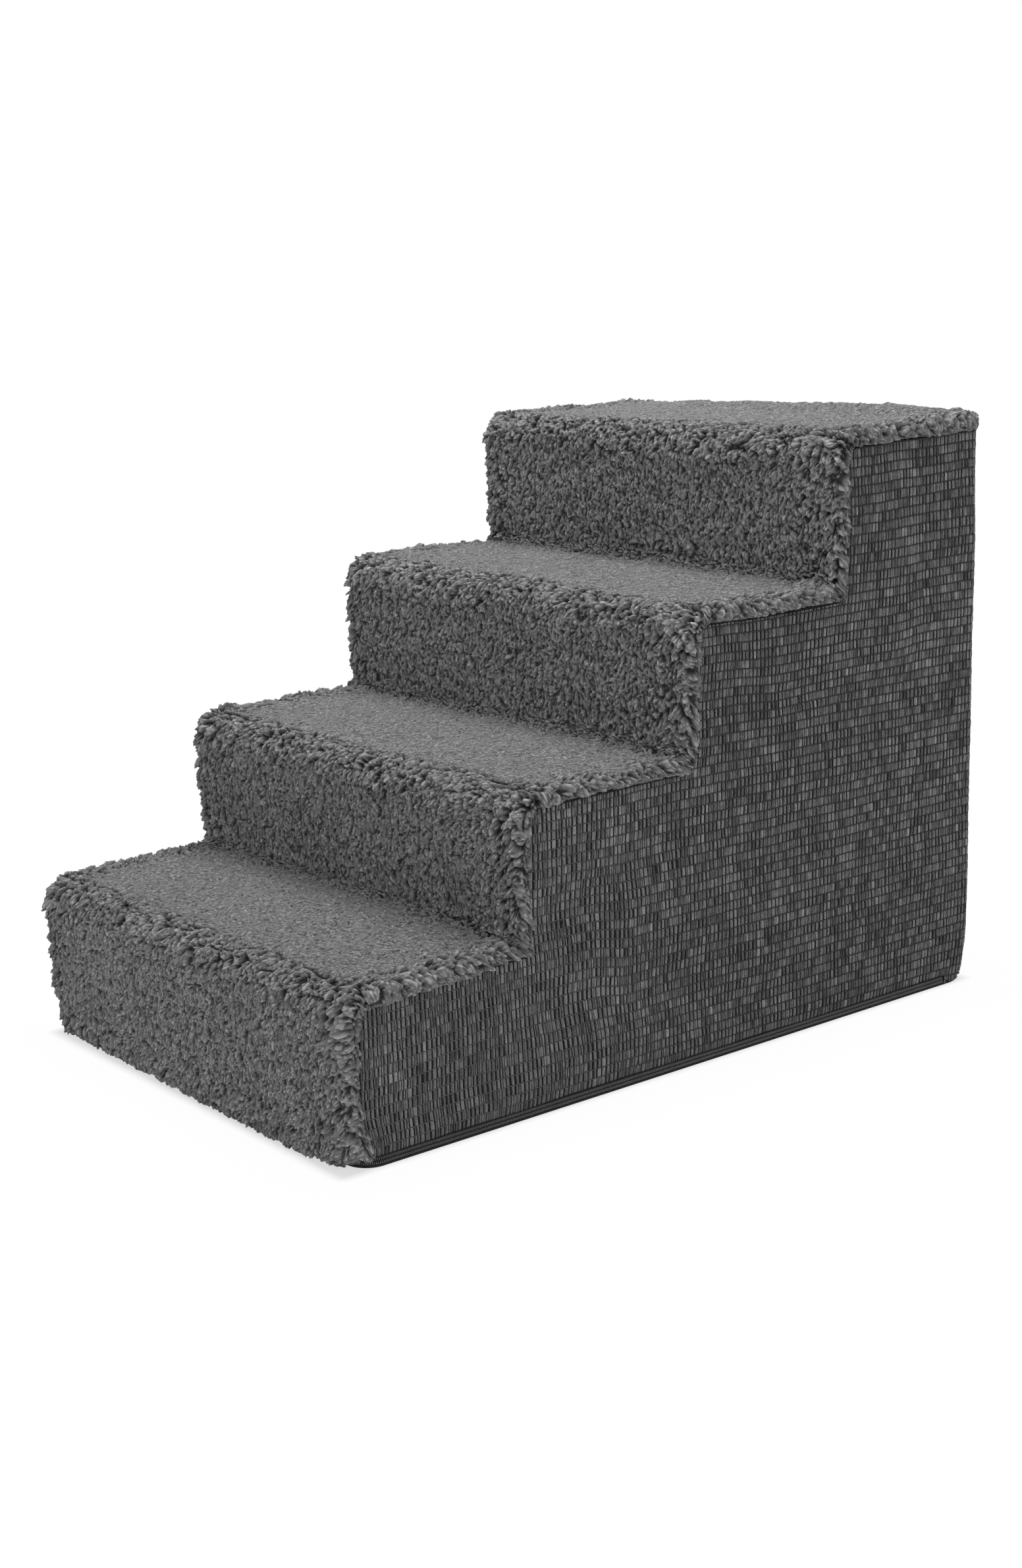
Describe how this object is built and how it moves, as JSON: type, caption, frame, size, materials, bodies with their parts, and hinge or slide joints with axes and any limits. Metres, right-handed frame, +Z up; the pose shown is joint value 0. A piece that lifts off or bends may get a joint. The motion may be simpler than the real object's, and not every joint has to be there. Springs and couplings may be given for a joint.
{
  "type": "pet stairs",
  "caption": "Foam pet stairs in a zip-off cover: curly sherpa over treads and risers, ribbed woven side and back panels, and a zip round the bottom edge.",
  "frame": {"origin": "on the floor, at the centre of the footprint", "axes": "the first step faces -Y, the steps rise towards +Y, X is the width, +Z is up"},
  "size_m": [0.408, 0.623, 0.4573],
  "materials": {
    "foam": "open-cell polyurethane foam, cut faces",
    "sherpa": "curly sherpa fleece pile, mid grey",
    "woven": "ribbed heathered weave, charcoal",
    "base_fabric": "plain close weave, dark",
    "thread": "spun polyester thread",
    "zip_tape": "woven polyester tape",
    "zip_coil": "polyester coil",
    "zip_metal": "gunmetal lacquer"
  },
  "bodies": {
    "stairs": {"foam_layer_1": "foam", "foam_layer_2": "foam", "foam_layer_3": "foam", "foam_layer_4": "foam", "sherpa_runner": "sherpa", "side_panel_left": "woven", "side_panel_right": "woven", "back_panel": "woven", "base_panel": "base_fabric", "seam_thread_left": "thread", "seam_thread_right": "thread", "seam_thread_top": "thread", "seam_thread_back_left": "thread", "seam_thread_back_right": "thread", "seam_thread_base": "thread", "zip_tape_upper": "zip_tape", "zip_tape_lower": "zip_tape", "zip_coil_upper": "zip_coil", "zip_coil_lower": "zip_coil", "zip_top_stops": "zip_metal", "zip_bottom_stop": "zip_metal"},
    "slider": {"zip_slider": "zip_metal"},
    "pull_tab": {"zip_pull_tab": "zip_metal"}
  },
  "joints": [
    {"name": "zip_slide", "type": "slide", "parent": "stairs", "child": "slider", "axis": [0, -1, 0], "range_m": [0, 0.55], "deforming": ["zip_coil_upper", "zip_coil_lower"]},
    {"name": "pull_tab_hinge", "type": "hinge", "parent": "slider", "child": "pull_tab", "pos_m": [-0.2022, 0.2782, 0.0049], "axis": [0, 0, -1], "range_deg": [0, 180]}
  ]
}
